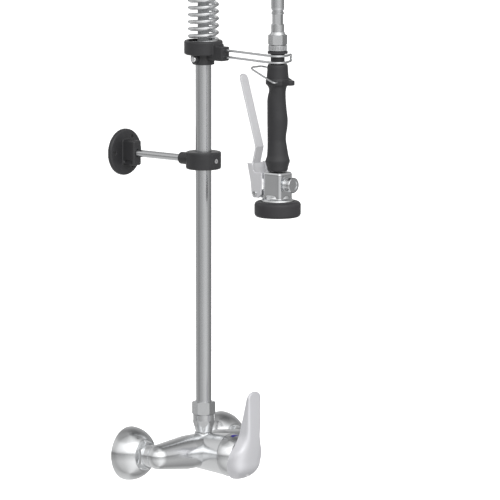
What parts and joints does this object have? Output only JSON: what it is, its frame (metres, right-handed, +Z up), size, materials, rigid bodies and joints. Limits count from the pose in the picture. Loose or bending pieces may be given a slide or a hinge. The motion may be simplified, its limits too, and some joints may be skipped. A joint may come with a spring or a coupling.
{
  "type": "pre rinse faucet",
  "caption": "Wall-mounted lever mixer with a tall riser, wall bracket, sprung overhead hose and a hanging squeeze-lever rinse spray in a wire hook.",
  "frame": {"origin": "midway between the two wall inlets, on the wall plane behind the escutcheons", "axes": "+Z up along the riser, +Y into the wall, -Y towards the user, +X to the user's right"},
  "size_m": [0.21, 0.2704, 0.8735],
  "materials": {
    "satin_chrome": "satin plated brass casting",
    "plated_brass": "plated brass",
    "turned_steel": "turned and plated",
    "brushed_steel": "lengthwise brushed",
    "spring_wire": "drawn stainless wire",
    "hose_jacket": "grey smooth jacket",
    "polished_wire": "polished",
    "screw_steel": "plated screw",
    "black_moulding": "fine texture moulding",
    "grip_moulding": "soft sheen moulding",
    "black_rubber": "matt",
    "valve_chrome": "polished and satin",
    "grey_plastic": "moulded",
    "ceramic": "lapped",
    "blue_index": "enamel"
  },
  "bodies": {
    "mixer": {"mixer_body": "satin_chrome", "left_escutcheon": "satin_chrome", "right_escutcheon": "satin_chrome", "left_inlet_nut": "satin_chrome", "right_inlet_nut": "satin_chrome", "left_union": "plated_brass", "right_union": "plated_brass", "left_inlet_washer": "black_rubber", "right_inlet_washer": "black_rubber", "cartridge_body": "grey_plastic", "ceramic_seat": "ceramic", "cartridge_nut": "plated_brass", "dome_cap": "satin_chrome", "cold_index": "blue_index", "outlet_adapter": "turned_steel", "riser_nut": "turned_steel", "riser_seal": "black_rubber", "riser_pipe": "brushed_steel"},
    "cartridge": {"cartridge_rotor": "grey_plastic", "rotor_pin": "polished_wire"},
    "mixer_lever": {"mixer_handle": "satin_chrome", "lever_stem": "polished_wire", "handle_screw": "screw_steel"},
    "mixing_disc": {"ceramic_slide": "ceramic"},
    "bracket": {"bracket_clamp": "black_moulding", "clamp_screw": "screw_steel", "bracket_rod": "polished_wire", "wall_plate": "black_moulding", "hub_screw": "screw_steel"},
    "overhead": {"hook_collar": "black_moulding", "collar_screw": "screw_steel", "hook_wire": "polished_wire", "support_spring": "spring_wire", "hose": "hose_jacket", "hose_lower_nut": "turned_steel", "spring_cap": "brushed_steel", "hose_ferrule": "turned_steel", "swivel_tail": "plated_brass"},
    "spray": {"swivel_nut": "turned_steel", "swivel_seal": "black_rubber", "inlet_skirt": "turned_steel", "inlet_washer": "black_rubber", "handle_tube": "grip_moulding", "grip": "grip_moulding", "valve_body": "valve_chrome", "valve_seal": "black_rubber", "valve_spring": "polished_wire", "lever_pin": "polished_wire", "spray_bumper": "black_rubber", "spray_cup": "grey_plastic", "spray_face": "brushed_steel", "face_screw": "screw_steel"},
    "squeeze_lever": {"spray_lever": "valve_chrome"},
    "valve": {"valve_stem": "polished_wire"},
    "hold_ring": {"bail_ring": "polished_wire"},
    "knob": {"flow_knob": "turned_steel"}
  },
  "joints": [
    {"name": "mixer_turn", "type": "hinge", "parent": "mixer", "child": "cartridge", "pos_m": [0, -0.083, -0.0025], "axis": [0, -1, 0], "range_deg": [-50, 50]},
    {"name": "mixer_lift", "type": "hinge", "parent": "cartridge", "child": "mixer_lever", "pos_m": [0, -0.083, -0.0025], "axis": [1, 0, 0], "range_deg": [-14, 6]},
    {"name": "disc_slide", "type": "slide", "parent": "cartridge", "child": "mixing_disc", "axis": [0, 0, -1], "range_m": [-0.0022, 0.0012]},
    {"name": "bracket_slide", "type": "slide", "parent": "mixer", "child": "bracket", "axis": [0, 0, 1], "range_m": [-0.2, 0.08]},
    {"name": "overhead_swing", "type": "hinge", "parent": "mixer", "child": "overhead", "pos_m": [0, -0.044, 0.44], "axis": [0, 0, 1], "range_deg": [-90, 90]},
    {"name": "spray_swivel", "type": "hinge", "parent": "overhead", "child": "spray", "pos_m": [0, -0.1527, 0.46], "axis": [0, 0, 1], "continuous": true},
    {"name": "lever_squeeze", "type": "hinge", "parent": "spray", "child": "squeeze_lever", "pos_m": [0, -0.132, 0.295], "axis": [1, 0, 0], "range_deg": [0, 12], "stiffness_Nm_per_rad": 1.2, "springref_deg": -2.86},
    {"name": "valve_travel", "type": "slide", "parent": "spray", "child": "valve", "axis": [0, -1, 0], "range_m": [0, 0.0042], "deforming": ["valve_spring"]},
    {"name": "ring_fold", "type": "hinge", "parent": "spray", "child": "hold_ring", "pos_m": [0, -0.1606, 0.4192], "axis": [1, 0, 0], "range_deg": [-25, 4]},
    {"name": "flow_turn", "type": "hinge", "parent": "spray", "child": "knob", "pos_m": [0, -0.1727, 0.306], "axis": [0, -1, 0], "range_deg": [0, 270]}
  ],
  "couplings": [
    {"joint": "disc_slide", "follows": "mixer_lift", "m_per_rad": 0.008},
    {"joint": "valve_travel", "follows": "lever_squeeze", "m_per_rad": 0.018}
  ]
}
